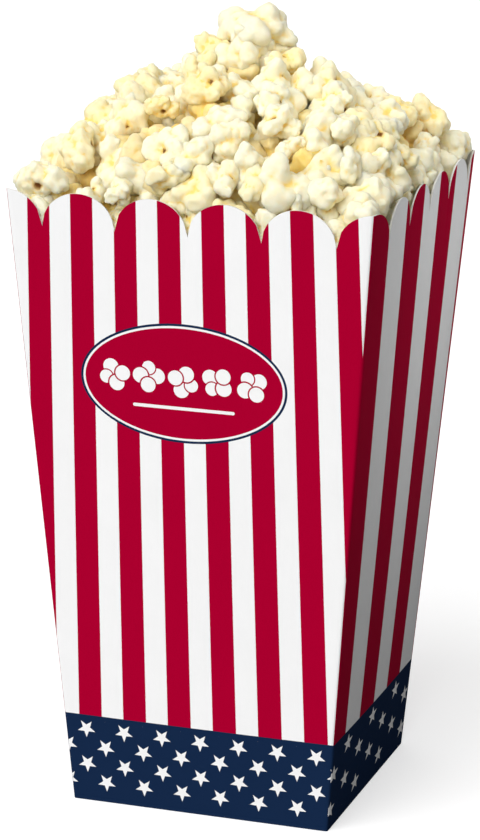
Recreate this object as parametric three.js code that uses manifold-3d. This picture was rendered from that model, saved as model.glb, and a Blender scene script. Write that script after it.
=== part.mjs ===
// A square, tapered paperboard popcorn box with a scalloped rim, filled and heaped with popcorn.
// Millimetres, +Z up, the origin at the centre of the base. The front panel faces -Y.

import * as THREE from 'three';
import { mergeVertices } from 'three/addons/utils/BufferGeometryUtils.js';
import Module from 'manifold-3d';

const wasm = await Module();
wasm.setup();

// ---- Driving dimensions ----

const HEIGHT = 235; // base to the crests of the rim
const TOP_WIDTH = 136.5; // outside, at the crests
const BASE_WIDTH = 99.7; // outside, at the base
const BOARD = 0.6; // thickness of the paperboard
const CLEARANCE = 0.35; // between the board and the popcorn

const SCALLOPS = 5; // whole waves along a front or back panel
const SCALLOP_DEPTH = 12.8; // crest to valley
const ARC_STEPS = 8; // straight edges along a quarter of a wave
const SIDE_PITCH = 26.4; // valley to valley on a side panel
const SIDE_LEAD = 22.5; // first fold of a side panel to its first valley

const FILL_EDGE = HEIGHT - 8; // where the heap meets the walls
const HEAP_TOP = HEIGHT + 48.5; // the mound without its loose flakes
const HEAP_SLOPE = 0.5; // fall of the mound for each millimetre away from its top
const BANK_SLOPE = 2.2; // rise of the heap for each millimetre in from a wall
const BLEND = 7; // how softly the bank turns into the mound
const TOP_X = 0; // the mound's top, from the middle of the mouth
const TOP_Y = 2;

const FLAKE_SPACING = 13; // between neighbouring flakes of the heap
const FLAKE_RADIUS = 8.5;
const FLAKE_VARIATION = 2.2; // more or less radius, and more or less height
const FLAKE_SINK = 0.62; // share of its radius that a flake sits below the mound
const CREVICE = 3; // how far the heap lies below the mound between flakes
const LONE_FLAKE = { x: 1, y: 3, z: HEIGHT + 50.5, radius: 10.5 };
const HEAP_STEPS = 40; // grid squares along each side of the heap

const OUTSIDE = 20; // how far a cutting body stands past what it cuts

// ---- Shared helpers ----

// Half the outside width of the tapered box at a height.
function halfWidth(z) {
  return (BASE_WIDTH + (TOP_WIDTH - BASE_WIDTH) * z / HEIGHT) / 2;
}

// A repeatable number from 0 to 1 for a pair of whole numbers.
function scatter(column, row, salt) {
  const wave = Math.sin(column * 127.1 + row * 311.7 + salt * 74.7) * 43758.5453;
  return wave - Math.floor(wave);
}

function toSolid(geometry) {
  geometry.deleteAttribute('normal');
  geometry.deleteAttribute('uv');
  const merged = mergeVertices(geometry, 1e-4);
  const mesh = new wasm.Mesh({
    numProp: 3,
    vertProperties: new Float32Array(merged.attributes.position.array),
    triVerts: new Uint32Array(merged.index.array),
  });
  mesh.merge();
  return new wasm.Manifold(mesh);
}

function toGeometry(solid) {
  const mesh = solid.getMesh();
  return indexedGeometry(mesh.vertProperties, mesh.triVerts);
}

function indexedGeometry(positions, triangles) {
  const geometry = new THREE.BufferGeometry();
  geometry.setAttribute('position', new THREE.BufferAttribute(new Float32Array(positions), 3));
  geometry.setIndex(new THREE.BufferAttribute(new Uint32Array(triangles), 1));
  geometry.computeVertexNormals();
  return geometry;
}

// ---- Carton ----

// A square block whose half width goes from lowHalf at low to highHalf at high.
function taperedBlock(lowHalf, low, highHalf, high) {
  const block = new THREE.BoxGeometry(2, 2, 1);
  const position = block.attributes.position;
  for (let i = 0; i < position.count; i++) {
    const atTop = position.getZ(i) > 0;
    const half = atTop ? highHalf : lowHalf;
    position.setXYZ(i, position.getX(i) * half, position.getY(i) * half, atTop ? high : low);
  }
  return toSolid(block);
}

// Where the valleys of a panel's rim lie, from the panel's centre line.
function frontValleys() {
  const pitch = TOP_WIDTH / SCALLOPS;
  return Array.from({ length: SCALLOPS }, (_, i) => (i - (SCALLOPS - 1) / 2) * pitch);
}

function sideValleys() {
  return Array.from({ length: SCALLOPS }, (_, i) => SIDE_LEAD + i * SIDE_PITCH - TOP_WIDTH / 2);
}

// The part of one wave from x0 to x1, where it falls from crest to valley or climbs back.
function addWave(shape, crestX, valleyX, climbing) {
  for (let i = 1; i <= ARC_STEPS; i++) {
    const turn = (climbing ? ARC_STEPS - i : i) / ARC_STEPS * Math.PI / 2;
    const x = crestX + (valleyX - crestX) * Math.sin(turn);
    shape.lineTo(x, HEIGHT - SCALLOP_DEPTH * (1 - Math.cos(turn)));
  }
}

// Everything above a panel's rim: half ellipses between the valleys, with crests on both folds.
function rimCutter(valleys, depth) {
  const fold = TOP_WIDTH / 2;
  const shape = new THREE.Shape();
  shape.moveTo(-fold - OUTSIDE, HEIGHT + OUTSIDE);
  shape.lineTo(-fold - OUTSIDE, HEIGHT);
  shape.lineTo(-fold, HEIGHT);
  valleys.forEach((valley, i) => {
    const before = i === 0 ? -fold : (valleys[i - 1] + valley) / 2;
    const after = i === valleys.length - 1 ? fold : (valleys[i + 1] + valley) / 2;
    addWave(shape, before, valley, false);
    addWave(shape, after, valley, true);
  });
  shape.lineTo(fold + OUTSIDE, HEIGHT);
  shape.lineTo(fold + OUTSIDE, HEIGHT + OUTSIDE);
  const block = new THREE.ExtrudeGeometry(shape, { depth, bevelEnabled: false });
  block.rotateX(Math.PI / 2);
  return block;
}

function cartonGeometry() {
  const rise = (TOP_WIDTH - BASE_WIDTH) / 2 / HEIGHT;
  const over = HEIGHT + OUTSIDE;
  const outer = taperedBlock(halfWidth(0), 0, halfWidth(HEIGHT), HEIGHT);
  const inner = taperedBlock(
    halfWidth(BOARD) - BOARD, BOARD,
    halfWidth(BOARD) - BOARD + rise * (over - BOARD), over,
  );
  const reach = TOP_WIDTH / 2 + OUTSIDE;
  const frontAndBack = toSolid(rimCutter(frontValleys(), 2 * reach).translate(0, reach, 0));
  const right = toSolid(rimCutter(sideValleys(), reach).rotateZ(Math.PI / 2));
  const left = toSolid(rimCutter(sideValleys(), reach).rotateZ(-Math.PI / 2));
  return toGeometry(outer.subtract(inner).subtract(frontAndBack).subtract(right).subtract(left));
}

// ---- Popcorn ----

// The mound without flakes: a cone that drops steeply as it nears a wall.
function moundHeight(x, y, edge) {
  const cone = HEAP_TOP - HEAP_SLOPE * Math.hypot(x - TOP_X, y - TOP_Y);
  const inwards = edge - Math.max(Math.abs(x), Math.abs(y));
  const bank = FILL_EDGE + BANK_SLOPE * inwards;
  const gap = Math.max(BLEND - Math.abs(cone - bank), 0);
  return Math.min(cone, bank) - gap * gap / (4 * BLEND);
}

// One flake for each cell of a loose grid, kept inside the walls.
function heapFlakes(edge) {
  const flakes = [LONE_FLAKE];
  const reach = Math.ceil(edge / FLAKE_SPACING);
  for (let column = -reach; column <= reach; column++) {
    for (let row = -reach; row <= reach; row++) {
      const radius = FLAKE_RADIUS + (scatter(column, row, 1) - 0.5) * 2 * FLAKE_VARIATION;
      const limit = edge - radius;
      const drift = (salt) => (scatter(column, row, salt) - 0.5) * FLAKE_SPACING * 0.7;
      const x = THREE.MathUtils.clamp(column * FLAKE_SPACING + drift(2), -limit, limit);
      const y = THREE.MathUtils.clamp(row * FLAKE_SPACING + drift(3), -limit, limit);
      const lift = (scatter(column, row, 4) - 0.5) * 2 * FLAKE_VARIATION;
      flakes.push({ x, y, z: moundHeight(x, y, edge) - FLAKE_SINK * radius + lift, radius });
    }
  }
  return flakes;
}

// The lumpy top of the heap: the highest flake over a point, or the crevice between flakes.
function heapHeight(x, y, edge, flakes) {
  let top = Math.max(moundHeight(x, y, edge) - CREVICE, FILL_EDGE);
  for (const flake of flakes) {
    const squared = flake.radius ** 2 - (x - flake.x) ** 2 - (y - flake.y) ** 2;
    if (squared > 0) {
      top = Math.max(top, flake.z + Math.sqrt(squared));
    }
  }
  return top;
}

// The heap's grid, its outermost points level along the walls.
function heapGrid(positions, edge) {
  const flakes = heapFlakes(edge);
  for (let row = 0; row <= HEAP_STEPS; row++) {
    for (let column = 0; column <= HEAP_STEPS; column++) {
      const x = (column / HEAP_STEPS * 2 - 1) * edge;
      const y = (row / HEAP_STEPS * 2 - 1) * edge;
      const onWall = row % HEAP_STEPS === 0 || column % HEAP_STEPS === 0;
      positions.push(x, y, onWall ? FILL_EDGE : heapHeight(x, y, edge, flakes));
    }
  }
}

// The numbers of the grid's outermost points, once round, seen from above anticlockwise.
function gridRim() {
  const side = HEAP_STEPS + 1;
  const rim = [];
  for (let i = 0; i < HEAP_STEPS; i++) rim.push(i);
  for (let i = 0; i < HEAP_STEPS; i++) rim.push(i * side + HEAP_STEPS);
  for (let i = HEAP_STEPS; i > 0; i--) rim.push(HEAP_STEPS * side + i);
  for (let i = HEAP_STEPS; i > 0; i--) rim.push(i * side);
  return rim;
}

function popcornGeometry() {
  const inset = BOARD + CLEARANCE;
  const edge = halfWidth(FILL_EDGE) - inset;
  const floorZ = BOARD + CLEARANCE;
  const floorScale = (halfWidth(floorZ) - inset) / edge;
  const positions = [];
  const triangles = [];
  heapGrid(positions, edge);
  const side = HEAP_STEPS + 1;
  for (let row = 0; row < HEAP_STEPS; row++) {
    for (let column = 0; column < HEAP_STEPS; column++) {
      const corner = row * side + column;
      triangles.push(corner, corner + 1, corner + side + 1);
      triangles.push(corner, corner + side + 1, corner + side);
    }
  }
  const rim = gridRim();
  const firstLow = positions.length / 3;
  for (const i of rim) {
    positions.push(positions[3 * i] * floorScale, positions[3 * i + 1] * floorScale, floorZ);
  }
  const middle = positions.length / 3;
  positions.push(0, 0, floorZ);
  rim.forEach((high, i) => {
    const next = (i + 1) % rim.length;
    triangles.push(firstLow + i, firstLow + next, rim[next]);
    triangles.push(firstLow + i, rim[next], high);
    triangles.push(middle, firstLow + next, firstLow + i);
  });
  return indexedGeometry(positions, triangles);
}

// ---- The object ----

function part(name, geometry, color, roughness) {
  const material = new THREE.MeshStandardMaterial({ color, roughness, metalness: 0 });
  const mesh = new THREE.Mesh(geometry, material);
  mesh.name = name;
  return mesh;
}

const box = new THREE.Group();
box.name = 'popcorn_box';
box.add(part('carton', cartonGeometry(), 0xb8002e, 0.5));
box.add(part('popcorn', popcornGeometry(), 0xfdf6dc, 0.8));

export default box;
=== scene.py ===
"""Popcorn box: a striped, tapered paperboard box, finished and heaped with popped corn.

Lengths are in metres. The front panel faces -Y and carries the oval badge.
"""

import math
import random

import bpy
import numpy as np
from mathutils import Euler, Matrix, Vector
from mathutils.bvhtree import BVHTree


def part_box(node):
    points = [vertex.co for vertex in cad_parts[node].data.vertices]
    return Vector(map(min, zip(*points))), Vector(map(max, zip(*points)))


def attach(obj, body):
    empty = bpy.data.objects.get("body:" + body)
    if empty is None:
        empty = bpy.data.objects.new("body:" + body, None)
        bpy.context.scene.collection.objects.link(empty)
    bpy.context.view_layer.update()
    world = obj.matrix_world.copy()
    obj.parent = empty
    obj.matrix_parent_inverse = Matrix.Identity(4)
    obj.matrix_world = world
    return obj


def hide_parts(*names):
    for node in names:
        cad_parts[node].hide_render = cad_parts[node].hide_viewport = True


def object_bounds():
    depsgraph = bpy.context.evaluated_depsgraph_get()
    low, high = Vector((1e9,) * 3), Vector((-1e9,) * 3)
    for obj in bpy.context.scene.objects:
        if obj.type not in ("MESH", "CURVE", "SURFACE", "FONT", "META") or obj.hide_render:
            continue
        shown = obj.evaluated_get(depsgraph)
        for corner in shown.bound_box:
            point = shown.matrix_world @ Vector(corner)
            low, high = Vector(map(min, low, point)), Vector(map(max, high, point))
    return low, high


bl_info = {
    "name": "Popcorn Box",
    "version": (1, 0, 0),
    "blender": (4, 5, 0),
    "location": "View3D > Sidebar > Popcorn",
    "description": "Makes a striped paperboard box heaped with popcorn",
    "category": "Add Mesh",
}

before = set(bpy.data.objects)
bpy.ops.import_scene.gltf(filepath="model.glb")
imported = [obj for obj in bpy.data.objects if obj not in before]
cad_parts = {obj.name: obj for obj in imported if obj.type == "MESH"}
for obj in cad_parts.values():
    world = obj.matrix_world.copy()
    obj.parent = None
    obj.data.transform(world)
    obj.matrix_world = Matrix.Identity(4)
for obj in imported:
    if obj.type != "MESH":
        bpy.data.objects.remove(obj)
MODEL_LOW, MODEL_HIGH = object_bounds()
CARTON_LOW, CARTON_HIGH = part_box("carton")
HEAP_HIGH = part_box("popcorn")[1]

RIM_Z = CARTON_HIGH[2]
TOP_WIDTH = CARTON_HIGH[0] - CARTON_LOW[0]
MM = 0.001
BODY = "root"


# ---- Settings ----


def length_setting(name, description, default):
    return bpy.props.FloatProperty(
        name=name, description=description, default=default, unit="LENGTH")


def angle_setting(name, description, degrees):
    return bpy.props.FloatProperty(
        name=name, description=description, default=math.radians(degrees), subtype="ANGLE")


def count_setting(name, description, default):
    return bpy.props.IntProperty(name=name, description=description, default=default)


def colour_setting(name, description, default):
    return bpy.props.FloatVectorProperty(
        name=name, description=description, default=default, subtype="COLOR", size=3, min=0,
        max=1)


class CartonSettings(bpy.types.PropertyGroup):
    base_width: length_setting("Base width", "Outside width at the base", 0.0997)
    board: length_setting("Board", "Thickness of the paperboard", 0.0006)
    fold_radius: length_setting("Fold radius", "Outside radius of the folds between panels", 0.0009)
    bulge: length_setting("Bulge", "How far a panel's middle swells outwards", 0.0009)
    scallops: count_setting("Scallops", "Valleys in the rim of each panel", 5)
    scallop_depth: length_setting("Scallop depth", "Crest to valley", 0.0128)
    side_pitch: length_setting("Side pitch", "Valley to valley on a side panel", 0.0264)
    side_lead: length_setting("Side lead", "First fold of a side panel to its first valley", 0.0225)
    columns: count_setting("Columns", "Mesh columns across a panel", 100)
    rows: count_setting("Rows", "Mesh rows up a panel", 24)


class PrintSettings(bpy.types.PropertyGroup):
    red: colour_setting("Red ink", "Stripes and badge", (0.410, 0.0, 0.0275))
    navy: colour_setting("Navy ink", "Starred band and badge outline", (0.0078, 0.0225, 0.066))
    white: colour_setting("Coated white", "Unprinted face of the board", (0.93, 0.93, 0.93))
    inside: colour_setting("Inside white", "Uncoated inside of the board", (0.78, 0.77, 0.74))
    stripe_pitch_top: length_setting(
        "Stripe pitch, top", "Red to red on the front and back, at the rim", 0.0163)
    stripe_pitch_base: length_setting(
        "Stripe pitch, base", "Red to red on the front and back, at the base", 0.0178)
    stripe_place: length_setting(
        "Stripe place", "A red stripe's middle from the panel's middle", -0.0069)
    red_share: bpy.props.FloatProperty(
        name="Red share", description="Red part of each pitch", subtype="FACTOR",
        min=0, max=1, default=0.515)
    side_pitch_top: length_setting(
        "Side pitch, top", "Red to red on a side panel, at the rim", 0.0441)
    side_pitch_base: length_setting(
        "Side pitch, base", "Red to red on a side panel, at the base", 0.0346)
    side_cut_top: length_setting(
        "Side cut, top", "How much the fold cuts off the first red, at the rim", 0.0008)
    side_cut_base: length_setting(
        "Side cut, base", "How much the fold cuts off the first red, at the base", 0.0051)
    band_height: length_setting("Band height", "Top of the navy band", 0.0348)
    star_size: length_setting("Star size", "Middle to tip of a front star", 0.0036)
    star_pitch: length_setting("Star pitch", "Star to star along a row, front and back", 0.01495)
    star_row: length_setting("Star row", "Height of a row of stars", 0.0071)
    side_stretch: bpy.props.FloatProperty(
        name="Side stretch", description="How much wider the side panels' stars lie apart",
        default=2.1)
    badge_width: length_setting("Badge width", "Width of the oval badge", 0.0778)
    badge_height: length_setting("Badge height", "Height of the oval badge", 0.0444)
    badge_x: length_setting("Badge place", "Badge's middle from the panel's middle", -0.0025)
    badge_z: length_setting("Badge level", "Height of the badge's middle", 0.1682)
    outline: length_setting("Outline", "Width of the badge's navy line", 0.0009)
    inline: length_setting("Inline", "Width of the badge's white line", 0.0008)


class PopcornSettings(bpy.types.PropertyGroup):
    seed: count_setting("Seed", "Start of the repeatable scatter", 7)
    kinds: count_setting("Kinds", "Differently shaped flakes", 12)
    faces: count_setting("Faces", "Triangles in one flake of the outer layer", 2400)
    deep_faces: count_setting("Deep faces", "Triangles in one flake of a deeper layer", 1400)
    spacing: length_setting("Spacing", "Least distance between flakes of one layer", 0.0108)
    size: length_setting("Size", "Length of an average flake", 0.0182)
    layers: count_setting("Layers", "Layers of flakes over the core", 3)
    layer_step: length_setting("Layer step", "How far each layer lies under the one above", 0.0075)
    rim_fill: length_setting("Rim fill", "How far flakes reach down the walls under the rim", 0.026)
    rim_rise: length_setting(
        "Rim rise", "How far flakes' middles at the walls lie over the rim", 0.004)
    tries: count_setting("Tries", "Places tried for the flakes of one layer", 5000)
    core_depth: length_setting(
        "Core depth", "How far the core lies under the heap's outline", 0.0150)
    cream: colour_setting("Cream", "Puffed starch", (0.90, 0.855, 0.650))
    # Yellow of toasted corn, and painted shade in the hollows and on deeper layers
    toast_and_shade: colour_setting("Butter", "Hollows between the puffs", (0.92, 0.69, 0.20))
    # Painted shade, deepest on buried flakes and the core, and the ochre round each hull bit
    ochre: colour_setting("Ochre", "The deepest hollows", (0.56, 0.31, 0.035))
    hull: colour_setting("Hull", "Bits of brown hull", (0.17, 0.055, 0.006))


class StageSettings(bpy.types.PropertyGroup):
    azimuth: angle_setting("Azimuth", "Camera's turn from the front towards +X", 18.4)
    elevation: angle_setting("Elevation", "Camera's height above the horizon", 14.94)
    roll: angle_setting("Roll", "Camera's turn about its own line of sight", 0.617)
    distance: length_setting("Distance", "Camera to the point that it looks at", 1.2709)
    aim_height: length_setting("Aim height", "Height of the point that the camera looks at", 0.1393)
    aim_side: length_setting(
        "Aim to the side", "That point's place, to the camera's right", -0.0021)
    lens: bpy.props.FloatProperty(
        name="Lens", description="Focal length in millimetres", default=145.4)


# ---- Shared tools ----


def settings(name):
    return getattr(bpy.context.scene, name)


def select_nothing():
    if bpy.context.object and bpy.context.object.mode != "OBJECT":
        bpy.ops.object.mode_set(mode="OBJECT")
    bpy.ops.object.select_all(action="DESELECT")


def select_only(obj):
    select_nothing()
    obj.select_set(True)
    bpy.context.view_layer.objects.active = obj


def edit(obj):
    """Goes into edit mode with all of a mesh selected."""
    select_only(obj)
    bpy.ops.object.mode_set(mode="EDIT")
    bpy.ops.mesh.select_all(action="SELECT")


def pick(obj, kind, test):
    """Selects the vertices, edges or polygons of obj that pass a test, and stays in edit mode."""
    bpy.ops.mesh.select_all(action="DESELECT")
    bpy.ops.mesh.select_mode(type={"vertices": "VERT", "edges": "EDGE", "polygons": "FACE"}[kind])
    bpy.ops.object.mode_set(mode="OBJECT")
    for item in getattr(obj.data, kind):
        item.select = test(item)
    bpy.ops.object.mode_set(mode="EDIT")


def apply_modifiers(obj):
    select_only(obj)
    for modifier in list(obj.modifiers):
        bpy.ops.object.modifier_apply(modifier=modifier.name)


def apply_place(obj):
    select_only(obj)
    bpy.ops.object.transform_apply(location=True, rotation=True, scale=True)


def points_of(mesh):
    found = np.empty(len(mesh.vertices) * 3)
    mesh.vertices.foreach_get("co", found)
    return found.reshape(-1, 3)


def set_points(mesh, points):
    mesh.vertices.foreach_set("co", np.asarray(points, dtype=float).ravel())
    mesh.update()


def add_number(mesh, name, values):
    """Stores one number for each vertex."""
    layer = mesh.attributes.get(name) or mesh.attributes.new(name, "FLOAT", "POINT")
    layer.data.foreach_set("value", np.asarray(values, dtype=np.float32))


def add_same(mesh, **numbers):
    """Stores numbers that are the same at every vertex."""
    for name, value in numbers.items():
        add_number(mesh, name, np.full(len(mesh.vertices), value))


def finish_piece(obj, node):
    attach(obj, BODY)
    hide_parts(node)


def half_width(z):
    """Half the outside width of the carton at a height."""
    base = settings("carton").base_width
    return (base + (TOP_WIDTH - base) * z / RIM_Z) / 2


def smooth_step(low, high, value):
    t = np.clip((value - low) / (high - low), 0, 1)
    return t * t * (3 - 2 * t)


# ---- Node tools ----


class Value:
    """What a socket gives. Sums written with it add nodes."""

    def __init__(self, net, socket):
        self.net, self.socket = net, socket

    def __add__(self, other):
        return self.net.math("ADD", self, other)

    def __radd__(self, other):
        return self.net.math("ADD", other, self)

    def __sub__(self, other):
        return self.net.math("SUBTRACT", self, other)

    def __rsub__(self, other):
        return self.net.math("SUBTRACT", other, self)

    def __mul__(self, other):
        return self.net.math("MULTIPLY", self, other)

    def __rmul__(self, other):
        return self.net.math("MULTIPLY", other, self)

    def __truediv__(self, other):
        return self.net.math("DIVIDE", self, other)


class Net:
    """Adds nodes to a material's or a group's tree and joins them."""

    def __init__(self, tree):
        self.tree = tree

    def node(self, kind, inputs=(), **options):
        made = self.tree.nodes.new(kind)
        for name, value in options.items():
            setattr(made, name, value)
        for key, value in dict(inputs).items():
            self.feed(made.inputs[key], value)
        return made

    def given(self, kind, output, **options):
        """One output of a new node that needs no inputs."""
        return Value(self, self.node(kind, **options).outputs[output])

    def feed(self, socket, value):
        if isinstance(value, Value):
            self.tree.links.new(value.socket, socket)
        elif hasattr(value, "__len__") and len(value) == 3 and socket.type == "RGBA":
            socket.default_value = (*value, 1)
        else:
            socket.default_value = value

    def made(self, kind, inputs, **options):
        """The first output of a new node."""
        return Value(self, self.node(kind, inputs, **options).outputs[0])

    def math(self, operation, *values, clamp=False):
        return self.made(
            "ShaderNodeMath", enumerate(values), operation=operation, use_clamp=clamp)

    def split(self, vector):
        parts = self.node("ShaderNodeSeparateXYZ", {0: vector}).outputs
        return [Value(self, part) for part in parts]

    def below(self, value, limit, soft):
        """1 where value is under limit, 0 over it, with an edge as wide as soft."""
        return self.made("ShaderNodeMapRange", {
            "Value": value - limit, "From Min": soft / 2, "From Max": -soft / 2})

    def mix(self, share, a, b, kind="RGBA"):
        """Colour a, going over to colour b as share goes from 0 to 1."""
        mixed = self.node("ShaderNodeMix", data_type=kind)
        for key, value in (("Factor", share), ("A", a), ("B", b)):
            self.feed(mixed.inputs[key], value)
        return Value(self, mixed.outputs["Result"])

    def blend(self, share, a, b):
        """Number a, going over to number b as share goes from 0 to 1."""
        return self.mix(share, a, b, "FLOAT")

    def length(self, x, y):
        return self.math("SQRT", x * x + y * y)

    def grey(self, tone):
        return self.made("ShaderNodeCombineColor", {0: tone, 1: tone, 2: tone})

    def noise(self, vector, scale, detail, rough=0.5):
        return self.made("ShaderNodeTexNoise", {
            "Vector": vector, "Scale": scale, "Detail": detail, "Roughness": rough})

    def place(self):
        """Where a point lies on its object."""
        return self.given("ShaderNodeTexCoord", "Object")

    def bump(self, height, strength, relief):
        return self.made("ShaderNodeBump", {
            "Height": height, "Strength": strength, "Distance": relief})

    def group(self, name, **inputs):
        """What a node group gives; in the names of its sockets _ stands for a space."""
        used = self.node("ShaderNodeGroup", node_tree=bpy.data.node_groups[name])
        for key, value in inputs.items():
            self.feed(used.inputs[key.replace("_", " ")], value)
        found = [Value(self, output) for output in used.outputs]
        return found if len(found) > 1 else found[0]


def new_group(name, inputs, outputs=("Mask",), vectors=()):
    """A node group's Net, its output sockets, and then what each of its inputs gives."""
    tree = bpy.data.node_groups.new(name, "ShaderNodeTree")
    for direction, labels in (("INPUT", inputs), ("OUTPUT", outputs)):
        for label in labels:
            kind = "NodeSocketVector" if label in vectors else "NodeSocketFloat"
            tree.interface.new_socket(name=label, in_out=direction, socket_type=kind)
    net = Net(tree)
    given = net.node("NodeGroupInput").outputs
    return net, net.node("NodeGroupOutput").inputs, *(Value(net, given[key]) for key in inputs)


def new_material(name, **values):
    """A material, its Net and its shader's inputs; _ stands for a space in an input's name."""
    material = bpy.data.materials.new(name)
    material.use_nodes = True
    shader = material.node_tree.nodes["Principled BSDF"].inputs
    for key, value in values.items():
        shader[key.replace("_", " ")].default_value = value
    return material, Net(material.node_tree), shader


# ---- Node groups ----

EDGE_SOFTNESS = 0.00012  # how soft a printed edge is
OVAL_REACH = 0.03  # about half the width of the largest oval, for the softness of an oval's edge
STAR_POINTS = 5
STAR_SIDE = math.radians(70)  # from a star's point to the normal of that point's sides


def stripe_group():
    """Stripes along a position that counts in pitches."""
    net, out, position, share, soft = new_group("Stripes", ("Position", "Share", "Softness"))
    from_middle = net.math("ABSOLUTE", net.math("FRACT", position) - share * 0.5)
    wrapped = net.math("MINIMUM", from_middle, 1.0 - from_middle)
    edge = (share * 0.5 - wrapped) / soft
    net.feed(out["Mask"], net.math("ADD", edge, 0.5, clamp=True))


def star_group():
    """A five-pointed star on its own, pointing up where Upright is 1 and down where it is -1."""
    net, out, x, y, size, upright = new_group("Star", ("X", "Y", "Size", "Upright"))
    half_turn = math.pi / STAR_POINTS  # half the angle between two points
    y = y * upright
    fold = net.math("PINGPONG", net.math("ARCTAN2", x, y), half_turn)
    side = net.length(x, y) * net.math("COSINE", STAR_SIDE - fold)
    net.feed(out["Mask"], net.below(side, size * math.cos(STAR_SIDE), EDGE_SOFTNESS))


def star_field_group():
    """Two staggered sets of stars that fill a panel's band."""
    net, out, u, v, pitch, row, size, widen, upright = new_group(
        "Star Field", ("U", "V", "Pitch", "Row", "Size", "Widen", "Upright"))
    masks = []
    for shift in (0.0, 0.5):
        across = u / pitch + shift
        along = v / (row * 2.0) + shift
        x = (net.math("FRACT", across) - 0.5) * pitch
        y = (net.math("FRACT", along) - 0.5) * (row * 2.0)
        masks.append(net.group("Star", X=x / widen, Y=y, Size=size, Upright=upright))
    net.feed(out["Mask"], net.math("MAXIMUM", *masks))


def oval_group():
    """An oval by its half width and half height."""
    net, out, x, y, wide, tall = new_group("Oval", ("X", "Y", "Half Width", "Half Height"))
    reach = net.length(x / wide, y / tall)
    net.feed(out["Mask"], net.below(reach, 1.0, EDGE_SOFTNESS / OVAL_REACH))


def stroke_group():
    """A straight stroke with round ends."""
    net, out, x, y, half_length, thickness = new_group(
        "Stroke", ("X", "Y", "Half Length", "Thickness"))
    past = net.math("MAXIMUM", net.math("ABSOLUTE", x) - half_length, 0.0)
    net.feed(out["Mask"], net.below(net.length(past, y), thickness * 0.5, EDGE_SOFTNESS))


PUFF_LOBES = (  # each lobe's middle and radius, in shares of the puff's size, the front one last
    (0.00, 0.00, 0.60), (-0.22, 0.46, 0.54), (-0.50, -0.16, 0.46), (0.12, -0.48, 0.54),
    (0.48, 0.12, 0.52),
)
PUFF_FIELD = 0.84  # the white inside a lobe's outline, in shares of the lobe
PUFF_SWAY = 0.08  # how far puffs stray from their row, in shares of their size
PUFF_SWAY_STEP = 2.4  # from puff to puff, in radians
PUFF_TURN_STEP = 1.9


def puff_row_group():
    """A row of simple popped kernels: outlined lobes one over another, each kernel turned."""
    net, out, x, y, pitch, size, count = new_group(
        "Puff Row", ("X", "Y", "Pitch", "Size", "Count"))
    across = x / pitch + count * 0.5
    number = net.math("FLOOR", across)
    x = (across - number - 0.5) * pitch
    y = y - net.math("SINE", number * PUFF_SWAY_STEP) * size * PUFF_SWAY
    turn = number * PUFF_TURN_STEP
    cosine, sine = net.math("COSINE", turn), net.math("SINE", turn)
    turned_x = x * cosine - y * sine
    turned_y = x * sine + y * cosine
    inside = 0.0
    for lobe_x, lobe_y, radius in PUFF_LOBES:
        x, y = turned_x - size * lobe_x, turned_y - size * lobe_y
        disc, field = (
            net.group("Oval", X=x, Y=y, Half_Width=reach, Half_Height=reach)
            for reach in (size * radius, size * (radius * PUFF_FIELD)))
        inside = inside * (1.0 - disc) + field
    first = net.math("GREATER_THAN", across, 0.0)
    last = net.math("LESS_THAN", across, count)
    net.feed(out["Mask"], inside * (first * last))


FIBRE_SCALE, FIBRE_LENGTHEN, FIBRE_SHARE = 2600, 0.12, 0.6
CLOUD_SCALE = 60


def board_grain_group():
    """The faint fibres of paperboard: a tone to multiply by, and a height."""
    net, out, vector, depth = new_group(
        "Board Grain", ("Vector", "Depth"), outputs=("Tone", "Height"), vectors=("Vector",))
    drawn_out = net.made(
        "ShaderNodeMapping", {"Vector": vector, "Scale": (1, 1, FIBRE_LENGTHEN)})
    fibre = net.noise(drawn_out, FIBRE_SCALE, 3)
    cloud = net.noise(vector, CLOUD_SCALE, 2)
    both = (fibre - 0.5) * FIBRE_SHARE + (cloud - 0.5)
    net.feed(out["Tone"], 1.0 + both * depth)
    net.feed(out["Height"], fibre)


GROUPS = (
    stripe_group, star_group, star_field_group, oval_group, stroke_group, puff_row_group,
    board_grain_group,
)


def make_groups():
    for make in GROUPS:
        make()


# ---- Print ----


def panel_place(net):
    """Where a point lies on its panel: across, up, half the panel's width, and 1 on a side panel."""
    x, y, z = net.split(net.place())
    on_side = net.math("GREATER_THAN", net.math("ABSOLUTE", x), net.math("ABSOLUTE", y))
    across_front = x * (net.math("SIGN", y) * -1.0)
    across_side = y * net.math("SIGN", x)
    across = net.blend(on_side, across_front, across_side)
    base = settings("carton").base_width
    half = base / 2 + z * ((TOP_WIDTH - base) / 2 / RIM_Z)
    return across, z, half, on_side


def sloped(up, at_base, at_rim):
    """A length that changes evenly from the base to the rim."""
    return at_base + up * ((at_rim - at_base) / RIM_Z)


def striped(net, across, up, half, on_side):
    """Narrow upright stripes on the front and back, and wide ones that fan out on the sides."""
    ink = settings("ink")
    pitch = sloped(up, ink.stripe_pitch_base, ink.stripe_pitch_top)
    front = (across - ink.stripe_place) / pitch + ink.red_share / 2
    side_pitch = sloped(up, ink.side_pitch_base, ink.side_pitch_top)
    side = (across + half + sloped(up, ink.side_cut_base, ink.side_cut_top)) / side_pitch
    soft = net.blend(
        on_side, EDGE_SOFTNESS / ink.stripe_pitch_top, EDGE_SOFTNESS / ink.side_pitch_top)
    position = net.blend(on_side, front, side)
    return net.group("Stripes", Position=position, Share=ink.red_share, Softness=soft)


STAR_ROWS = 4
STAR_DROP = 0.0055  # top of the band to the middle of the first row
FRONT_STAR_SHIFT = -0.001
SIDE_STAR_SHIFT = 0.002
SIDE_STAR_WIDEN = 1.5


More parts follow.
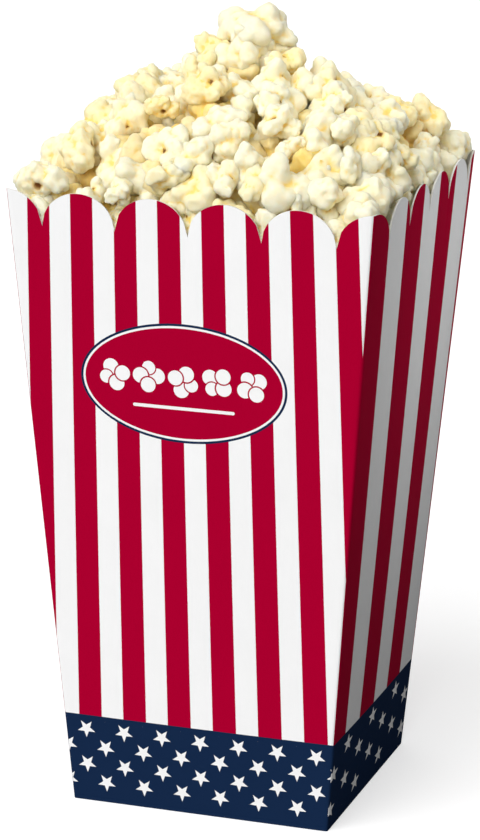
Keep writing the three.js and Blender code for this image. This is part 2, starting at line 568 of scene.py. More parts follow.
def starred(net, across, up, on_side):
    """Rows of staggered stars: upside down on the front and back, wide and far apart on the sides."""
    ink = settings("ink")
    first_row = ink.band_height - STAR_DROP
    rows = up - first_row + ink.star_row
    fields = []
    for pitch, shift, widen, upright in (
        (ink.star_pitch, FRONT_STAR_SHIFT, 1.0, -1.0),
        (ink.star_pitch * ink.side_stretch, SIDE_STAR_SHIFT, SIDE_STAR_WIDEN, 1.0),
    ):
        fields.append(net.group(
            "Star Field", U=across + (pitch / 2 + shift), V=rows, Pitch=pitch,
            Row=ink.star_row, Size=ink.star_size, Widen=widen, Upright=upright))
    lowest = first_row - (STAR_ROWS - 0.5) * ink.star_row
    over = net.math("GREATER_THAN", up, lowest)
    under = net.math("LESS_THAN", up, first_row + ink.star_row / 2)
    return over * under * net.blend(on_side, *fields)


PUFF_COUNT = 5
PUFF_PITCH_SHARE = 1 / 6  # in shares of the badge's width
PUFF_SIZE_SHARE = 1 / 12.2
PUFF_LIFT = 0.0013  # over the badge's middle
UNDERLINE_DROP = 0.0093  # under the badge's middle
UNDERLINE_HALF = 0.0186
UNDERLINE_WIDTH = 0.0012


def badge_on(net, colour, across, up, on_side):
    """The oval badge: a navy line, a white line and a red field with puffs and an underline."""
    ink = settings("ink")
    x, y = across - ink.badge_x, up - ink.badge_z
    off_side = 1.0 - on_side
    inset = 0
    for paint, line in ((ink.navy, ink.outline), (ink.white, ink.inline), (ink.red, 0)):
        mask = net.group("Oval", X=x, Y=y, Half_Width=ink.badge_width / 2 - inset,
                         Half_Height=ink.badge_height / 2 - inset)
        colour = net.mix(mask * off_side, colour, paint)
        inset += line
    puffs = net.group(
        "Puff Row", X=x, Y=y - PUFF_LIFT, Pitch=ink.badge_width * PUFF_PITCH_SHARE,
        Size=ink.badge_width * PUFF_SIZE_SHARE, Count=PUFF_COUNT)
    stroke = net.group("Stroke", X=x, Y=y + UNDERLINE_DROP, Half_Length=UNDERLINE_HALF,
                       Thickness=UNDERLINE_WIDTH)
    return net.mix(net.math("MAXIMUM", puffs, stroke) * off_side, colour, ink.white)


VARNISH_IOR = 1.04  # low, so that the varnish's sheen doesn't grey the ink


def board_surface(net, shader, colour, grain, roughness, variation, bump, relief):
    """Feeds a shader a colour, and the board's fibres in its tone, its gloss and its relief."""
    tone, height = net.group("Board Grain", Vector=net.place(), Depth=grain)
    tinted = net.node("ShaderNodeVectorMath", {0: colour, "Scale": tone}, operation="SCALE")
    net.feed(shader["Base Color"], Value(net, tinted.outputs[0]))
    net.feed(shader["Roughness"], roughness + height * variation)
    net.feed(shader["Normal"], net.bump(height, bump, relief))


def print_material():
    """Red, white and navy ink on coated board, under a thin satin varnish."""
    ink = settings("ink")
    material, net, shader = new_material("Printed Board", IOR=VARNISH_IOR)
    across, up, half, on_side = panel_place(net)
    colour = net.mix(striped(net, across, up, half, on_side), ink.white, ink.red)
    band = net.below(up, ink.band_height, EDGE_SOFTNESS)
    stars = starred(net, across, up, on_side)
    colour = net.mix(band, colour, net.mix(stars, ink.navy, ink.white))
    colour = badge_on(net, colour, across, up, on_side)
    board_surface(net, shader, colour, grain=0.06, roughness=0.40, variation=0.12, bump=0.12,
                  relief=0.05 * MM)
    return material


def bare_board_material(name, tint):
    """Uncoated board, as it shows inside and on the cut edge."""
    material, net, shader = new_material(name)
    board_surface(net, shader, tint, grain=0.16, roughness=0.78, variation=0.15, bump=0.3,
                  relief=0.1 * MM)
    return material


# ---- Carton ----


def valleys(on_side):
    """Where a panel's rim has its valleys, from the panel's middle."""
    box = settings("carton")
    if on_side:
        return [box.side_lead + i * box.side_pitch - TOP_WIDTH / 2 for i in range(box.scallops)]
    return [(i - (box.scallops - 1) / 2) * TOP_WIDTH / box.scallops for i in range(box.scallops)]


def rim_drop(across, places):
    """How far the rim lies under its crests: half ellipses between valleys, crests on the folds."""
    depth = settings("carton").scallop_depth
    fold = TOP_WIDTH / 2
    ends = [-2 * fold - places[0], *places, 2 * fold - places[-1]]
    for left, right in zip(ends, ends[1:]):
        if left <= across <= right:
            share = abs(2 * (across - left) / (right - left) - 1)
            return depth * (1 - math.sqrt(max(1 - share * share, 0)))
    return 0.0


CORNER_SEGMENTS = 3
NEAR_RIM = 0.99  # the share of the height over which a point belongs to the rim


def box_outline():
    """The base: a square with corners rounded as board folds, and a column at each step."""
    box = settings("carton")
    bpy.ops.mesh.primitive_plane_add(size=box.base_width, location=(0, 0, 0))
    obj = bpy.context.object
    edit(obj)
    bpy.ops.mesh.bevel(offset=box.fold_radius, segments=CORNER_SEGMENTS, affect="VERTICES",
                       profile=0.5)
    points = obj.data.vertices
    pick(obj, "edges", lambda e: (points[e.vertices[0]].co - points[e.vertices[1]].co).length
         > box.base_width / 2)
    bpy.ops.mesh.subdivide(number_cuts=box.columns - 1)
    return obj


def raise_walls(obj):
    box = settings("carton")
    bpy.ops.mesh.select_all(action="SELECT")
    bpy.ops.mesh.extrude_region_move(TRANSFORM_OT_translate={"value": (0, 0, RIM_Z)})
    widen = TOP_WIDTH / box.base_width
    bpy.ops.transform.resize(value=(widen, widen, 1), center_override=(0, 0, RIM_Z))
    pick(obj, "polygons", lambda f: f.center.z > RIM_Z * NEAR_RIM)
    bpy.ops.mesh.delete(type="ONLY_FACE")
    points = obj.data.vertices
    pick(obj, "edges", lambda e: abs(points[e.vertices[0]].co.z - points[e.vertices[1]].co.z)
         > RIM_Z / 2)
    bpy.ops.mesh.subdivide(number_cuts=box.rows - 1)
    bpy.ops.mesh.select_all(action="SELECT")
    bpy.ops.mesh.normals_make_consistent(inside=False)
    bpy.ops.object.mode_set(mode="OBJECT")


SCALLOP_ZONE = 0.85  # the share of the height over which the mesh leans towards the scallops


def shaped_point(x, y, z, snaps):
    """A wall's point with the panel's bulge and the rim's scallops."""
    box = settings("carton")
    half = half_width(z)
    side = abs(x) > abs(y)
    facing = math.copysign(1, x) if side else -math.copysign(1, y)
    across = (y if side else x) * facing
    top_across = across / half * TOP_WIDTH / 2
    nearest = snaps[side].get(round(top_across, 5), top_across)
    near_rim = smooth_step(RIM_Z * SCALLOP_ZONE, RIM_Z, z)
    across += (nearest - top_across) * near_rim
    drop = rim_drop(nearest, valleys(side)) * near_rim
    swell = box.bulge * math.cos(across / half * math.pi / 2) * math.sin(math.pi * z / RIM_Z)
    outwards = abs(x if side else y) + swell - drop * (TOP_WIDTH - box.base_width) / 2 / RIM_Z
    if side:
        return outwards * math.copysign(1, x), across * facing, z - drop
    return across * facing, outwards * math.copysign(1, y), z - drop


def valley_snaps(points):
    """For each side, which column of the rim moves onto each valley."""
    top = points[points[:, 2] > RIM_Z * NEAR_RIM]
    snaps = {}
    for side in (False, True):
        on_panel = (np.abs(top[:, 0]) > np.abs(top[:, 1])) == side
        own, other = (1, 0) if side else (0, 1)
        panel = top[on_panel]
        across = panel[:, own] * np.sign(panel[:, other]) * (1 if side else -1)
        found = {}
        for valley in valleys(side):
            near = across[np.argmin(np.abs(across - valley))]
            for value in across[np.abs(across - near) < 1e-5]:
                found[round(float(value), 5)] = valley
        snaps[side] = found
    return snaps


def shape_walls(obj):
    points = points_of(obj.data)
    snaps = valley_snaps(points)
    set_points(obj.data, [shaped_point(*point, snaps) for point in points])


def thicken(obj):
    wall = obj.modifiers.new("Board", "SOLIDIFY")
    wall.thickness = settings("carton").board
    wall.offset = -1
    wall.use_even_offset = True
    wall.material_offset = 1
    wall.material_offset_rim = 2
    apply_modifiers(obj)


FLAP_GAP, FLAP_GAP_DEPTH = 0.35 * MM, 0.25 * MM
FLAP_REACH, FLAP_SLOPE = 0.96, 0.2  # in shares of half the base
SEAM_GAP, SEAM_GAP_DEPTH, SEAM_SETBACK = 0.30 * MM, 0.22 * MM, 1.4 * MM
SHARP_EDGE = math.radians(35)


def groove(start, end, width, depth):
    """A thin box along a line on the board, that cuts a gap between two pieces of it."""
    start, end = Vector(start), Vector(end)
    bpy.ops.mesh.primitive_cube_add(size=1, location=(start + end) / 2)
    cutter = bpy.context.object
    cutter.scale = ((end - start).length, width, depth * 2)
    cutter.rotation_euler = (end - start).to_track_quat("X", "Z").to_euler()
    apply_place(cutter)
    return cutter


def flap_lines():
    """Where the base's tucked flaps meet."""
    half = settings("carton").base_width / 2
    inset, slope = half * FLAP_REACH, half * FLAP_SLOPE
    return [
        ((-inset, -slope, 0), (-slope, slope, 0)), ((-slope, slope, 0), (slope, slope, 0)),
        ((slope, slope, 0), (inset, -slope, 0)),
    ]


def seam_line():
    """The free edge of the left side panel, glued down beside its fold with the back."""
    low, high = half_width(0), half_width(RIM_Z)
    return (-low, low - SEAM_SETBACK, 0), (-high, high - SEAM_SETBACK, RIM_Z)


def cut_seams(obj):
    """The gaps round the base's flaps, and the glued seam down one back edge."""
    select_nothing()
    cutters = [groove(*line, FLAP_GAP, FLAP_GAP_DEPTH) for line in flap_lines()]
    cutters.append(groove(*seam_line(), SEAM_GAP, SEAM_GAP_DEPTH))
    for cutter in cutters:
        cut = obj.modifiers.new("Gap", "BOOLEAN")
        cut.operation = "DIFFERENCE"
        cut.solver = "EXACT"
        cut.object = cutter
    apply_modifiers(obj)
    for cutter in cutters:
        bpy.data.objects.remove(cutter)


class POPCORN_OT_carton(bpy.types.Operator):
    """Makes the printed paperboard box with its scalloped rim"""

    bl_idname = "popcorn.carton"
    bl_label = "Carton"

    def execute(self, context):
        ink = settings("ink")
        select_nothing()
        obj = box_outline()
        raise_walls(obj)
        shape_walls(obj)
        for material in (
            print_material(),
            bare_board_material("Inside Board", ink.inside),
            bare_board_material("Cut Edge", ink.inside),
        ):
            obj.data.materials.append(material)
        thicken(obj)
        cut_seams(obj)
        obj.name = obj.data.name = "printed_carton"
        select_only(obj)
        bpy.ops.object.shade_smooth_by_angle(angle=SHARP_EDGE)
        finish_piece(obj, "carton")
        return {"FINISHED"}


# ---- Popcorn ----


PATCH_SCALE, PORE_SCALE = 420, 1900
# Shares of the yellow: hollow and depth paint shade, toast and patches are the corn's own tone
TOAST_AND_SHADE_SHARES = {"hollow": 1.10, "toast": 0.45, "patches": 0.40, "depth": 0.80}
# Shares of the ochre: depth paints deeper shade on buried flakes, patches thin it out
OCHRE_SHARES = {"depth": 0.60, "patches": 0.30}
SCORCH_GAIN, SCORCH_START = 2.5, 1.5
STARCH_ROUGHNESS, PATCH_ROUGHNESS = 0.55, 0.2
LIGHT_REACH = (0.0036, 0.0030, 0.0022)  # how far red, green and blue light travel in a flake


def popcorn_material(name, cream, toast_and_shade, ochre, hull):
    """Puffed corn: cream on bulges, ochre at the hull; painted shade, yellow in hollows, ochre deeper
    down.
    """
    material, net, shader = new_material(
        name, Specular_IOR_Level=0.25, Subsurface_Weight=0.55, Subsurface_Radius=LIGHT_REACH,
        Subsurface_Scale=1.0)
    hollow, husk, tone, depth = (
        net.given("ShaderNodeAttribute", "Fac", attribute_name=key)
        for key in ("hollow", "hull", "tone", "depth"))
    place = net.place()
    patches = net.noise(place, PATCH_SCALE, 3)
    # Painted shade: yellow in the hollows and on deeper layers, over the corn's own toast and patches
    warm = hollow * TOAST_AND_SHADE_SHARES["hollow"] + net.math("POWER", tone, 4.0) * TOAST_AND_SHADE_SHARES["toast"]
    warm = warm + (patches - 0.5) * TOAST_AND_SHADE_SHARES["patches"]
    warm = net.math("ADD", warm, depth * TOAST_AND_SHADE_SHARES["depth"], clamp=True)
    # Ochre round the hull, and painted shade in ochre on the deeper layers
    deep = net.math("SUBTRACT", husk + depth * OCHRE_SHARES["depth"],
                    patches * OCHRE_SHARES["patches"], clamp=True)
    scorched = net.math("SUBTRACT", husk * SCORCH_GAIN, SCORCH_START, clamp=True)
    colour = net.mix(deep, net.mix(warm, cream, toast_and_shade), ochre)
    net.feed(shader["Base Color"], net.mix(scorched, colour, hull))
    net.feed(shader["Roughness"], STARCH_ROUGHNESS + patches * PATCH_ROUGHNESS)
    pores = net.noise(place, PORE_SCALE, 4, rough=0.6)
    net.feed(shader["Normal"], net.bump(pores, strength=0.35, relief=0.0003))
    return material


WAY_STRAY = 0.35
SQUASH = (0.82, 1.12)


def spread_directions(count, dice):
    """Directions spread about evenly over a sphere, each a little off its place."""
    golden = math.pi * (3 - math.sqrt(5))
    turn = dice.uniform(0, 2 * math.pi)
    found = []
    for i in range(count):
        z = 1 - (2 * i + 1) / count
        flat = math.sqrt(1 - z * z)
        way = Vector((flat * math.cos(golden * i + turn), flat * math.sin(golden * i + turn), z))
        way += Vector([dice.uniform(-WAY_STRAY, WAY_STRAY) for _ in range(3)])
        found.append(way.normalized())
    dice.shuffle(found)
    return found


def add_lobe(centre, radius, dice):
    squash = [dice.uniform(*SQUASH) for _ in range(3)]
    bpy.ops.mesh.primitive_ico_sphere_add(
        subdivisions=2, radius=radius, location=centre, scale=squash,
        rotation=[dice.uniform(0, math.pi) for _ in range(3)])


HEART = 3.4  # this and the sizes below are in millimetres
PETAL_COUNTS = (3, 4, 4, 5)
PETAL_REACH = (2.4, 3.4)
PETAL_RADIUS = (2.8, 4.2)
PETAL_GROWTH = (1.0, 1.2)
PETAL_STEPS = (1, 1, 2)
STEP_REACH, STEP_CURL = 1.9, 1.6
BUD_COUNTS = (0, 1, 2)
BUD_RADIUS = (1.7, 2.8)
BUD_LEAN, BUD_REACH = 0.9, 0.75
FLAKE_VOXEL = 0.42
SWELLINGS = (  # pattern, size of its bumps and strength
    ("VORONOI", 3.4, -1.7), ("CLOUDS", 4.5, 1.2), ("CLOUDS", 1.1, 0.35),
)
HULL_SIZES = (1.2, 1.8, 2.6)


def flake_lobes(dice):
    """A popped kernel as balls: curling petals that swell from its heart, with buds on them."""
    add_lobe((0, 0, 0), HEART * MM, dice)
    for way in spread_directions(dice.choice(PETAL_COUNTS), dice):
        curl = way.cross(Vector([dice.uniform(-1, 1) for _ in range(3)])).normalized()
        reach = dice.uniform(*PETAL_REACH) * MM
        radius = dice.uniform(*PETAL_RADIUS) * MM
        for step in range(dice.choice(PETAL_STEPS)):
            centre = way * (reach + step * STEP_REACH * MM) + curl * step * step * STEP_CURL * MM
            radius *= dice.uniform(*PETAL_GROWTH)
            add_lobe(centre, radius, dice)
        for _ in range(dice.choice(BUD_COUNTS)):
            side = Vector([dice.uniform(-1, 1) for _ in range(3)]).normalized()
            bud = (way * BUD_LEAN + side).normalized()
            add_lobe(centre + bud * radius * BUD_REACH, dice.uniform(*BUD_RADIUS) * MM, dice)


def concavity(mesh, rounds, scale):
    """0 on bulges and up to 1 in creases, from how far each vertex lies under its surroundings."""
    points = points_of(mesh)
    normals = np.empty(len(points) * 3)
    mesh.vertices.foreach_get("normal", normals)
    pairs = np.empty(len(mesh.edges) * 2, dtype=np.int64)
    mesh.edges.foreach_get("vertices", pairs)
    a, b = pairs.reshape(-1, 2).T
    count = np.bincount(np.r_[a, b], minlength=len(points))[:, None]
    smooth = points.copy()
    for _ in range(rounds):
        total = np.zeros_like(smooth)
        np.add.at(total, a, smooth[b])
        np.add.at(total, b, smooth[a])
        smooth = (smooth + total / count) / 2
    rise = ((smooth - points) * normals.reshape(-1, 3)).sum(1)
    return np.clip(rise / scale, 0, 1)


def scaled_to(mesh, length):
    points = points_of(mesh)
    points -= (points.max(0) + points.min(0)) / 2
    points *= length / (points.max(0) - points.min(0)).max()
    set_points(mesh, points)


def add_skin(obj, voxel):
    """Melts overlapping balls into one closed skin of even squares; voxel is in millimetres."""
    skin = obj.modifiers.new("One skin", "REMESH")
    skin.mode = "VOXEL"
    skin.voxel_size = voxel * MM


def add_swelling(obj, pattern, size, strength, middle):
    """Swells or dents a mesh by a pattern of bumps; size and strength are in millimetres."""
    texture = bpy.data.textures.new("swelling", pattern)
    texture.noise_scale = size * MM
    swell = obj.modifiers.new("Swelling", "DISPLACE")
    swell.texture = texture
    swell.strength = strength * MM
    swell.mid_level = middle


def thin_out(obj, faces):
    """Brings a mesh down to a number of triangles."""
    triangles = sum(len(f.vertices) - 2 for f in obj.data.polygons)
    thin = obj.modifiers.new("Thin out", "DECIMATE")
    thin.ratio = min(1.0, faces / triangles)
    apply_modifiers(obj)


def own_copy(source):
    """A copy of an object that has its own mesh."""
    copy = source.copy()
    copy.data = source.data.copy()
    bpy.context.collection.objects.link(copy)
    return copy


def flake_shape(kind):
    """One kind of flake, as long as an average one, round the origin."""
    corn = settings("corn")
    dice = random.Random(corn.seed * 100 + kind)
    select_nothing()
    bpy.ops.mesh.primitive_ico_sphere_add(subdivisions=1, radius=MM)
    obj = bpy.context.object
    edit(obj)
    flake_lobes(dice)
    bpy.ops.object.mode_set(mode="OBJECT")
    add_skin(obj, FLAKE_VOXEL)
    soften = obj.modifiers.new("Soften", "SMOOTH")
    soften.factor, soften.iterations = 0.5, 3
    for swelling in SWELLINGS:
        add_swelling(obj, *swelling, 0.5)
    apply_modifiers(obj)
    thin_out(obj, corn.faces)
    scaled_to(obj.data, corn.size)
    store_flake_numbers(obj.data, dice.choice(HULL_SIZES) * MM)
    return obj


BROAD_ROUNDS, BROAD_DEPTH = 14, 0.9 * MM  # rounds of smoothing, and the depth that counts as 1
FINE_ROUNDS, FINE_DEPTH = 3, 0.25 * MM
BROAD_SHARE, FINE_SHARE, CENTRE_SHARE = 0.75, 0.35, 0.35
HEART_FINE_SHARE = 0.3
HULL_GAIN = 1.8


def store_flake_numbers(mesh, hull_size):
    """Where a flake is hollow, for the shade painted in its creases and near its middle, and where
    its bit of hull shows.
    """
    points = points_of(mesh)
    broad = concavity(mesh, BROAD_ROUNDS, BROAD_DEPTH)
    fine = concavity(mesh, FINE_ROUNDS, FINE_DEPTH)
    centre = 1 - np.linalg.norm(points, axis=1) / (settings("corn").size / 2)
    hollow = BROAD_SHARE * broad + FINE_SHARE * fine + CENTRE_SHARE * np.clip(centre, 0, 1)
    heart = points[np.argmax(broad + HEART_FINE_SHARE * fine)]
    near = 1 - np.linalg.norm(points - heart, axis=1) / hull_size
    # The hollow number sets how much shade is painted on each point
    add_number(mesh, "hollow", np.clip(hollow, 0, 1))
    add_number(mesh, "hull", np.clip(near * HULL_GAIN, 0, 1))


# Shares here are of a flake's length, or of the average flake's.
OUTLINE_STEP = 12  # every so many vertices of a flake are held against the heap's outline
LEAST_RISE, TONE_RISE = 2.0, 5.5  # millimetres over the outline, and how much the tone adds
SLOPE_STEP = 0.012
RAY_START = 0.05  # over the heap's top
CROWN_ROOM, CROWN_SIZE, CROWN_LIMIT = 0.7, 1.45, 1.41  # only the crown is over the limit
CROWN_REACH = 1.2  # from the heap's top down, where the crown's supports stay as they are
CROWN_PLACE, CROWN_DROP = (0.001, 0.003), 0.30
SUPPORT_SIZE, SUPPORT_OUT, SUPPORT_DOWN, SUPPORT_TURN = 1.1, 0.45, 0.55, 20
MIDDLE_DOWN = 0.7
SHORTEST, LONGEST, SPREAD = 0.72, 1.4, 0.17
SINK_SHARE, SINK_STRAY = 0.24, 2.2  # the second in millimetres
WALL_FAVOUR = 0.8  # under 1, more of the wall's flakes lie high
WALL_INSET = 0.40
VALLEY_SIZE, VALLEY_LIFT, VALLEY_INSET = 0.9, 0.18, 0.30
CORNER_SIZE, CORNER_INSET, CORNER_LIFTS, CORNER_TONE = 1.15, 0.5, (0.16, -0.50), 0.4
INNER_GAP = 0.9
TURNS_TRIED, FLATNESS = 40, 2.2
THINNEST = 0.85
WALL_GAP, FLAKE_GAP, PRESS = 0.2 * MM, 0.3 * MM, 1.6 * MM
LEAN_REACH = 0.62


def heap_surface():
    """A function that gives the height of the heap's outline at a place."""
    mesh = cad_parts["popcorn"].data
    points = [v.co for v in mesh.vertices]
    tree = BVHTree.FromPolygons(points, [tuple(f.vertices) for f in mesh.polygons])
    above = HEAP_HIGH[2] + RAY_START
    crown = settings("corn").size * CROWN_ROOM
    limit = HEAP_HIGH[0] - 2 * MM

    def height(x, y):
        start = Vector((max(-limit, min(limit, x)), max(-limit, min(limit, y)), above))
        return min(tree.ray_cast(start, Vector((0, 0, -1)))[0].z, HEAP_HIGH[2] - crown)
    return height


def mound_normal(height, x, y):
    """The mound's broad slope at a place, which leaves out its bumps."""
    step = SLOPE_STEP
    slope_x = (height(x + step, y) - height(x - step, y)) / (2 * step)
    slope_y = (height(x, y + step) - height(x, y - step)) / (2 * step)
    return Vector((-slope_x, -slope_y, 1)).normalized()


def random_spot(height, length, layer, dice):
    """A place for a flake's middle under the heap's outline, and at the walls down past the rim."""
    corn = settings("corn")
    limit = HEAP_HIGH[0]
    x, y = dice.uniform(-limit, limit), dice.uniform(-limit, limit)
    spot = Vector((x, y, height(x, y)))
    sink = length * SINK_SHARE + layer * corn.layer_step + dice.uniform(-1, 1) * SINK_STRAY * MM
    if max(abs(x), abs(y)) > limit - corn.size / 2:
        top = max(spot.z - sink, RIM_Z + corn.rim_rise - layer * corn.layer_step)
        bottom = RIM_Z + corn.rim_rise - corn.rim_fill
        spot.z = bottom + (top - bottom) * dice.random() ** WALL_FAVOUR
    else:
        spot -= mound_normal(height, x, y) * sink
    inset = half_width(min(spot.z, RIM_Z)) - length * WALL_INSET - layer * corn.layer_step
    spot.x = max(-inset, min(inset, spot.x))
    spot.y = max(-inset, min(inset, spot.y))
    return spot


def valley_places():
    """Flakes that fill the rim's valleys from inside, pressed against the board."""
    corn = settings("corn")
    dice = random.Random(corn.seed * 3)
    length = corn.size * VALLEY_SIZE
    z = RIM_Z - settings("carton").scallop_depth + length * VALLEY_LIFT
    found = []
    for quarter in range(4):
        turn = Matrix.Rotation(quarter * math.pi / 2, 3, "Z")
        for across in valleys(quarter % 2 == 1):
            wall = half_width(z) - length * VALLEY_INSET
            across = max(-wall, min(wall, across))
            spot = turn @ Vector((across, -wall, z + dice.uniform(-1, 1) * MM))
            found.append((spot, length, 0.0, dice.random()))
    return found


def corner_places():
    """Large flakes that lean into the box's four corners."""
    length = settings("corn").size * CORNER_SIZE
    inset = TOP_WIDTH / 2 - length * CORNER_INSET
    return [
        (Vector((inset * right, inset * back, RIM_Z + length * lift)), length, 0.0, CORNER_TONE)
        for right in (-1, 1) for back in (-1, 1) for lift in CORNER_LIFTS]


def flake_places(height):
    """Every flake's middle, length, depth and tone, from the outer layer inwards."""
    corn = settings("corn")
    found = [*crown_places(), *valley_places(), *corner_places()]
    taken = np.array([spot for spot, *_ in found])
    for layer in range(corn.layers):
        dice = random.Random(corn.seed + layer)
        gap = corn.spacing * (1.0 if layer == 0 else INNER_GAP)
        for _ in range(corn.tries):
            length = corn.size * min(LONGEST, max(SHORTEST, dice.gauss(1.0, SPREAD)))
            spot = random_spot(height, length, layer, dice)
            if ((taken - np.array(spot)) ** 2).sum(1).min() > gap ** 2:
                taken = np.vstack((taken, spot))
                found.append((spot, length, layer / max(corn.layers - 1, 1), dice.random()))
    return found


def random_turn(dice):
    return Euler([dice.uniform(0, 2 * math.pi) for _ in range(3)]).to_matrix()


def lying_turn(points, dice):
    """Of many random turns, the one in which a flake is widest and lowest."""
    turns = [random_turn(dice) for _ in range(TURNS_TRIED)]

    def spread(turn):
        turned = points @ np.array(turn).T
        size = turned.max(0) - turned.min(0)
        return size[0] + size[1] - FLATNESS * size[2]
    return max(turns, key=spread)


def settled(points, middle, tone, height):
    """How far an outer flake moves up or down to stand a little over the heap's outline."""
    corn = settings("corn")
    if middle[2] > HEAP_HIGH[2] - CROWN_REACH * corn.size:
        return 0.0
    over = max(z - height(x, y) for x, y, z in points[::OUTLINE_STEP])
    shift = (tone * TONE_RISE + LEAST_RISE) * MM - over
    at_wall = max(abs(middle[0]), abs(middle[1])) > HEAP_HIGH[0] - corn.size / 2
    return min(shift, 0.0) if at_wall else shift


def sideways(low, high, middle, length):
    """How far a flake moves to clear the walls, or to press on those that it lies near."""
    limit = half_width(min(low[2], RIM_Z)) - settings("carton").board - FLAKE_GAP
    shift = np.maximum(-limit - low, 0) - np.maximum(high - limit, 0)
    press = limit + PRESS
    for axis in (0, 1):
        if abs(middle[axis]) > limit - LEAN_REACH * length:
            shift[axis] = press - high[axis] if middle[axis] > 0 else -press - low[axis]
    return shift


def place_copy(shape, height, middle, length, depth, tone, dice):
    """A copy of a flake, turned at random, that leans against the walls and stays under the top."""
    size = length / settings("corn").size
    crown = size > CROWN_LIMIT
    own_points = points_of(shape.data)
    turn = lying_turn(own_points, dice) if crown else random_turn(dice)
    shape_up = turn @ Matrix.Diagonal((size, size * dice.uniform(THINNEST, 1.0), size))
    points = own_points @ np.array(shape_up).T + np.array(middle)
    low, high = points.min(0), points.max(0)
    shift = sideways(low, high, middle, length)
    headroom = MODEL_HIGH[2] - high[2]
    if crown:
        shift[2] = headroom
    else:
        shift[2] = min(0.0 if depth else settled(points, middle, tone, height), headroom)
    copy = own_copy(shape)
    copy.matrix_world = Matrix.Translation(middle + Vector(shift)) @ shape_up.to_4x4()
    # depth paints shade on flakes of the deeper layers
    add_same(copy.data, depth=depth, tone=tone)
    return copy


def keep_inside(obj):
    """Flattens popcorn against the walls that it leans on."""
    points = points_of(obj.data)
    board = settings("carton").board
    z = np.minimum(points[:, 2], RIM_Z)
    limit = half_width(z) - np.where(points[:, 2] < RIM_Z, board, 0) - WALL_GAP
    for axis in (0, 1):
        points[:, axis] = np.clip(points[:, axis], -limit, limit)
    points[:, 2] = np.minimum(points[:, 2], MODEL_HIGH[2])
    set_points(obj.data, points)


def crown_places():
    """The big flake that stands on top of the heap, and those that it rests on."""
    size = settings("corn").size
    length = size * CROWN_SIZE
    top = Vector((*CROWN_PLACE, MODEL_HIGH[2] - length * CROWN_DROP))
    found = [(top, length, 0.0, 0.3)]
    for third in range(3):
        turn = math.radians(SUPPORT_TURN + 120 * third)
        flat = math.cos(turn) * SUPPORT_OUT, math.sin(turn) * SUPPORT_OUT
        found.append((top + Vector((*flat, -SUPPORT_DOWN)) * size, size * SUPPORT_SIZE, 0.0, 0.5))
    found.append((top - Vector((0, 0, size * MIDDLE_DOWN)), size * SUPPORT_SIZE, 0.0, 0.4))
    return found


def flakes_of_kind(kind, material, places, height, dice):
    """One piece: copies of one kind of flake, the deeper ones with fewer triangles."""
    shape = flake_shape(kind)
    shape.data.materials.append(material)
    deep_shape = own_copy(shape)
    thin_out(deep_shape, settings("corn").deep_faces)
    copies = [place_copy(deep_shape if place[2] else shape, height, *place, dice)
              for place in places]
    select_nothing()
    for copy in copies:
        copy.select_set(True)
    bpy.context.view_layer.objects.active = copies[0]
    bpy.ops.object.join()
    piece = bpy.context.object
    piece.name = piece.data.name = f"flakes_{kind + 1}"
    apply_place(piece)
    keep_inside(piece)
    select_only(piece)
    bpy.ops.object.shade_smooth()
    bpy.data.objects.remove(shape)
    bpy.data.objects.remove(deep_shape)
    finish_piece(piece, "popcorn")


class POPCORN_OT_flakes(bpy.types.Operator):
    """Makes the popped kernels of the heap, one piece for each kind"""

    bl_idname = "popcorn.flakes"
    bl_label = "Flakes"

    def execute(self, context):
        corn = settings("corn")
        material = popcorn_material("Popped Corn", corn.cream, corn.toast_and_shade, corn.ochre, corn.hull)
        height = heap_surface()
        places = flake_places(height)
        dice = random.Random(corn.seed)
        for kind in range(corn.kinds):
            flakes_of_kind(kind, material, places[kind::corn.kinds], height, dice)
        return {"FINISHED"}


CORE_VOXEL = 2.2
CORE_TOP_SHARE = 2.4  # how far its top lies under the heap's, in core depths
CORE_LUMPS = ("VORONOI", 9, -5, 0.0)
CORE_HOLLOW_ROUNDS, CORE_HOLLOW_DEPTH = 4, 1.5 * MM


def heap_copy():
    """The heap's body from the frame, with one even skin."""
    obj = own_copy(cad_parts["popcorn"])
    obj.parent = None
    obj.matrix_world = Matrix.Identity(4)
    obj.modifiers.clear()
    edit(obj)
    bpy.ops.mesh.remove_doubles(threshold=1e-6)
    bpy.ops.object.mode_set(mode="OBJECT")
    add_skin(obj, CORE_VOXEL)
    apply_modifiers(obj)
    return obj


def sink_core(mesh):
    """Lowers and narrows the part of the core that the flakes cover."""
    corn = settings("corn")
    points = points_of(mesh)
    over = smooth_step(RIM_Z - 2 * corn.rim_fill, RIM_Z - corn.rim_fill, points[:, 2])
    points[:, 2] -= corn.core_depth * over
    points[:, 2] = np.minimum(points[:, 2], HEAP_HIGH[2] - CORE_TOP_SHARE * corn.core_depth)
    points[:, :2] *= 1 - over[:, None] * corn.core_depth / HEAP_HIGH[0]
    set_points(mesh, points)


class POPCORN_OT_core(bpy.types.Operator):
    """Makes the body of popcorn under the loose flakes"""

    bl_idname = "popcorn.core"
    bl_label = "Core"

    def execute(self, context):
        corn = settings("corn")
        select_nothing()
        obj = heap_copy()
        sink_core(obj.data)
        add_swelling(obj, *CORE_LUMPS)
        apply_modifiers(obj)
        keep_inside(obj)
        hollow = concavity(obj.data, CORE_HOLLOW_ROUNDS, CORE_HOLLOW_DEPTH)
        add_number(obj.data, "hollow", hollow)
        # The core is painted as shade between the flakes: yellow all over, and ochre from depth 1 and
        # some hull
        add_same(obj.data, hull=0.35, depth=1.0, tone=0.5)
        obj.data.materials.clear()
        obj.data.materials.append(
            popcorn_material("Deep Popcorn", corn.toast_and_shade, corn.toast_and_shade, corn.ochre, corn.hull))
        obj.name = obj.data.name = "popcorn_core"
        select_only(obj)
        bpy.ops.object.shade_smooth()
        finish_piece(obj, "popcorn")
        return {"FINISHED"}


# ---- Stage ----


